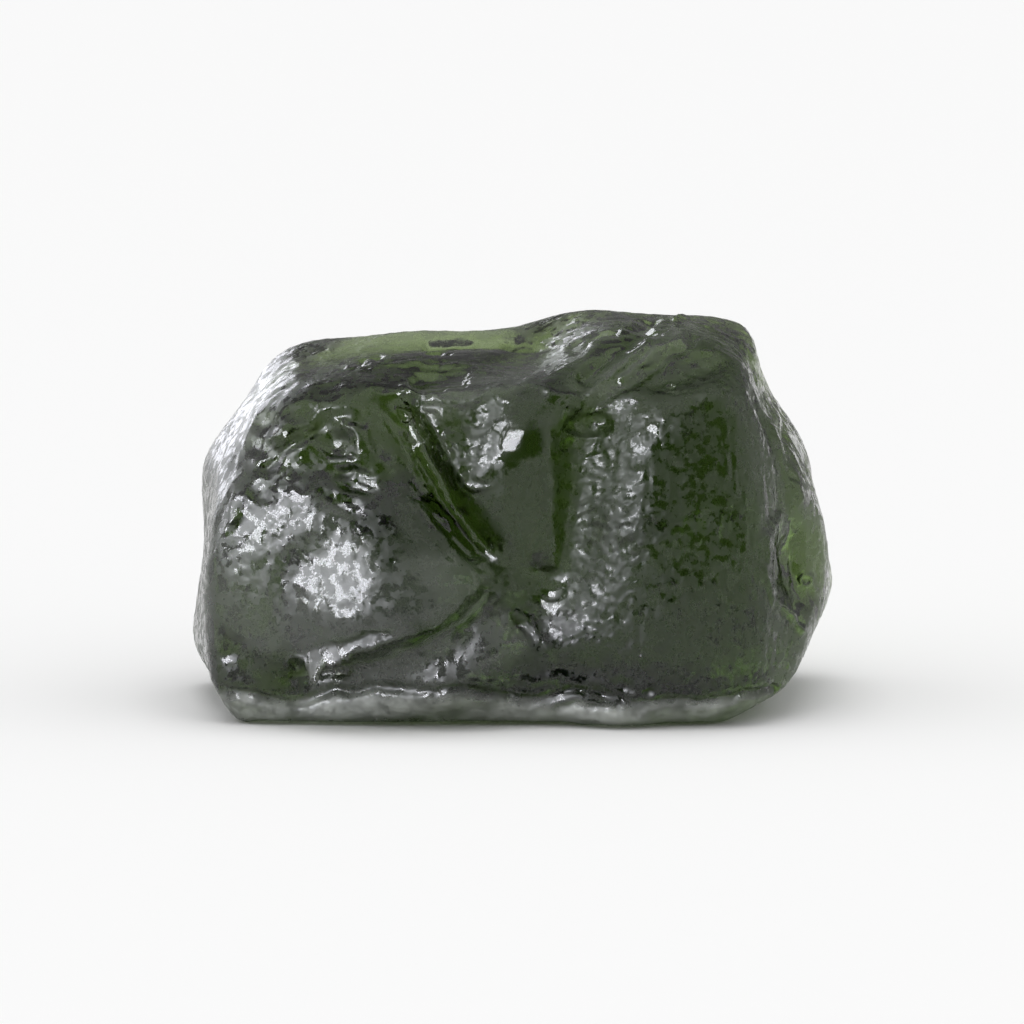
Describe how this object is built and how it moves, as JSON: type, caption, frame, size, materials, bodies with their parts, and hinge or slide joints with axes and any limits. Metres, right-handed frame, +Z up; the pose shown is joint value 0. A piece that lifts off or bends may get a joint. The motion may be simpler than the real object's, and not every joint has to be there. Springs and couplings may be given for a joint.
{
  "type": "moldavite",
  "caption": "Rough, blocky piece of dark green natural glass with a rounded bulge, a V pocket and grooves on its front, lying on a flat underside.",
  "frame": {"origin": "middle of the stone's bounding box in plan, on the surface that it rests on", "axes": "+X to the right along the stone's longest side, +Y away from whoever looks at the front of it, +Z up"},
  "size_m": [0.0224, 0.0142, 0.0133],
  "materials": {
    "green_glass": "etched natural glass, partly glossy and partly frosted"
  },
  "bodies": {
    "root": {"moldavite": "green_glass"}
  },
  "joints": []
}
